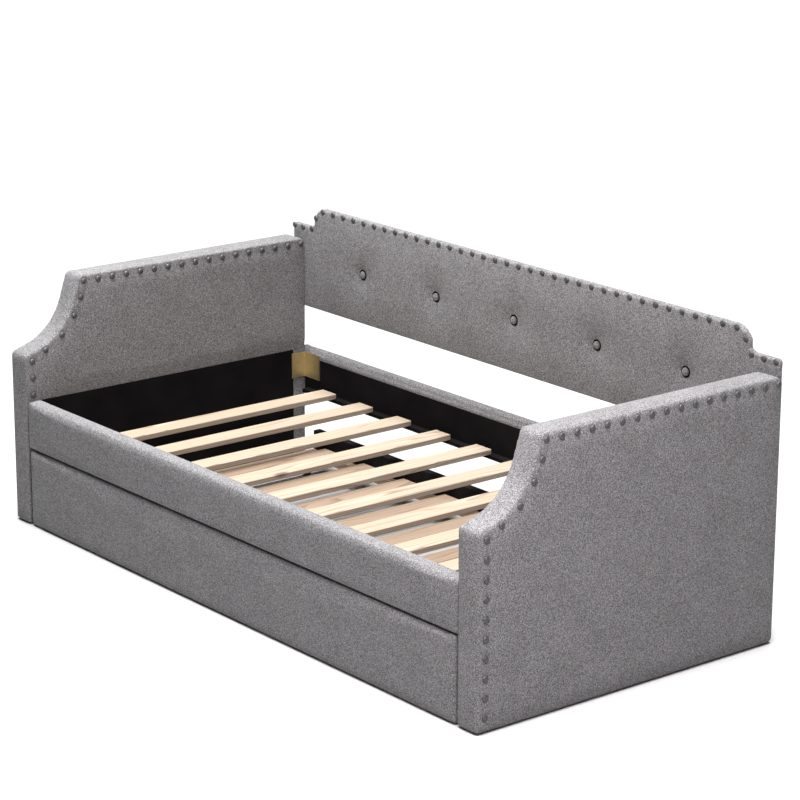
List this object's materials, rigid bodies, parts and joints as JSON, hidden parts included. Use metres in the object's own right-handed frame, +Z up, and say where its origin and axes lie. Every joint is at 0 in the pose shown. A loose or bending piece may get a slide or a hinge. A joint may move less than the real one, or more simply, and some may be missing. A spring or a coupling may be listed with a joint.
{
  "type": "trundle bed",
  "caption": "Upholstered daybed with scooped arms, nailhead-trimmed low back, slatted base and a full-length slatted trundle that rolls out from under its open front.",
  "frame": {"origin": "on the floor, under the middle of the bed's outline", "axes": "+X along the bed to its right arm, -Y out of the open front, +Z up"},
  "size_m": [2.16, 1.0698, 0.854],
  "materials": {
    "cloth": "heathered grey linen-look weave",
    "lining": "black non-woven dust cloth",
    "board": "raw plywood and softwood frame",
    "pine": "planed unfinished pine",
    "bracket": "yellow zinc plated steel",
    "steel": "zinc plated",
    "plastic": "moulded nylon"
  },
  "bodies": {
    "bed_frame": {"back_ledge": "lining", "back_panel_board": "board", "back_panel_cover": "cloth", "back_rail": "cloth", "back_rail_lining": "lining", "front_ledge": "lining", "front_rail": "cloth", "front_rail_lining": "lining", "left_arm_cover": "cloth", "left_arm_frame": "board", "left_arm_lining": "lining", "left_front_bracket": "bracket", "left_front_glide": "plastic", "left_rear_bracket": "bracket", "left_rear_glide": "plastic", "right_arm_cover": "cloth", "right_arm_frame": "board", "right_arm_lining": "lining", "right_front_bracket": "bracket", "right_front_glide": "plastic", "right_rear_bracket": "bracket", "right_rear_glide": "plastic", "slat_01": "pine", "slat_02": "pine", "slat_03": "pine", "slat_04": "pine", "slat_05": "pine", "slat_06": "pine", "slat_07": "pine", "slat_08": "pine", "slat_09": "pine", "slat_10": "pine", "tuft_button_1": "cloth", "tuft_button_2": "cloth", "tuft_button_3": "cloth", "tuft_button_4": "cloth", "tuft_button_5": "cloth"},
    "trundle": {"left_front_caster_fork": "steel", "left_rear_caster_fork": "steel", "right_front_caster_fork": "steel", "right_rear_caster_fork": "steel", "trundle_back_board": "lining", "trundle_back_ledge": "pine", "trundle_front": "cloth", "trundle_front_ledge": "pine", "trundle_left_rail": "pine", "trundle_right_rail": "pine", "trundle_slat_1": "pine", "trundle_slat_2": "pine", "trundle_slat_3": "pine", "trundle_slat_4": "pine", "trundle_slat_5": "pine", "trundle_slat_6": "pine", "trundle_slat_7": "pine", "trundle_slat_8": "pine", "trundle_slat_9": "pine"},
    "left_front_caster_wheel": {"left_front_caster_wheel": "plastic"},
    "left_rear_caster_wheel": {"left_rear_caster_wheel": "plastic"},
    "right_front_caster_wheel": {"right_front_caster_wheel": "plastic"},
    "right_rear_caster_wheel": {"right_rear_caster_wheel": "plastic"}
  },
  "joints": [
    {"name": "trundle_slide", "type": "slide", "parent": "bed_frame", "child": "trundle", "axis": [0, -1, 0], "range_m": [0, 0.95]},
    {"name": "left_front_caster_roll", "type": "hinge", "parent": "trundle", "child": "left_front_caster_wheel", "pos_m": [-0.889, -0.44485, 0.02], "axis": [1, 0, 0], "continuous": true},
    {"name": "left_rear_caster_roll", "type": "hinge", "parent": "trundle", "child": "left_rear_caster_wheel", "pos_m": [-0.889, 0.42015, 0.02], "axis": [1, 0, 0], "continuous": true},
    {"name": "right_front_caster_roll", "type": "hinge", "parent": "trundle", "child": "right_front_caster_wheel", "pos_m": [0.889, -0.44485, 0.02], "axis": [1, 0, 0], "continuous": true},
    {"name": "right_rear_caster_roll", "type": "hinge", "parent": "trundle", "child": "right_rear_caster_wheel", "pos_m": [0.889, 0.42015, 0.02], "axis": [1, 0, 0], "continuous": true}
  ],
  "couplings": [
    {"joint": "left_front_caster_roll", "follows": "trundle_slide", "rad_per_m": 50},
    {"joint": "left_rear_caster_roll", "follows": "trundle_slide", "rad_per_m": 50},
    {"joint": "right_front_caster_roll", "follows": "trundle_slide", "rad_per_m": 50},
    {"joint": "right_rear_caster_roll", "follows": "trundle_slide", "rad_per_m": 50}
  ]
}
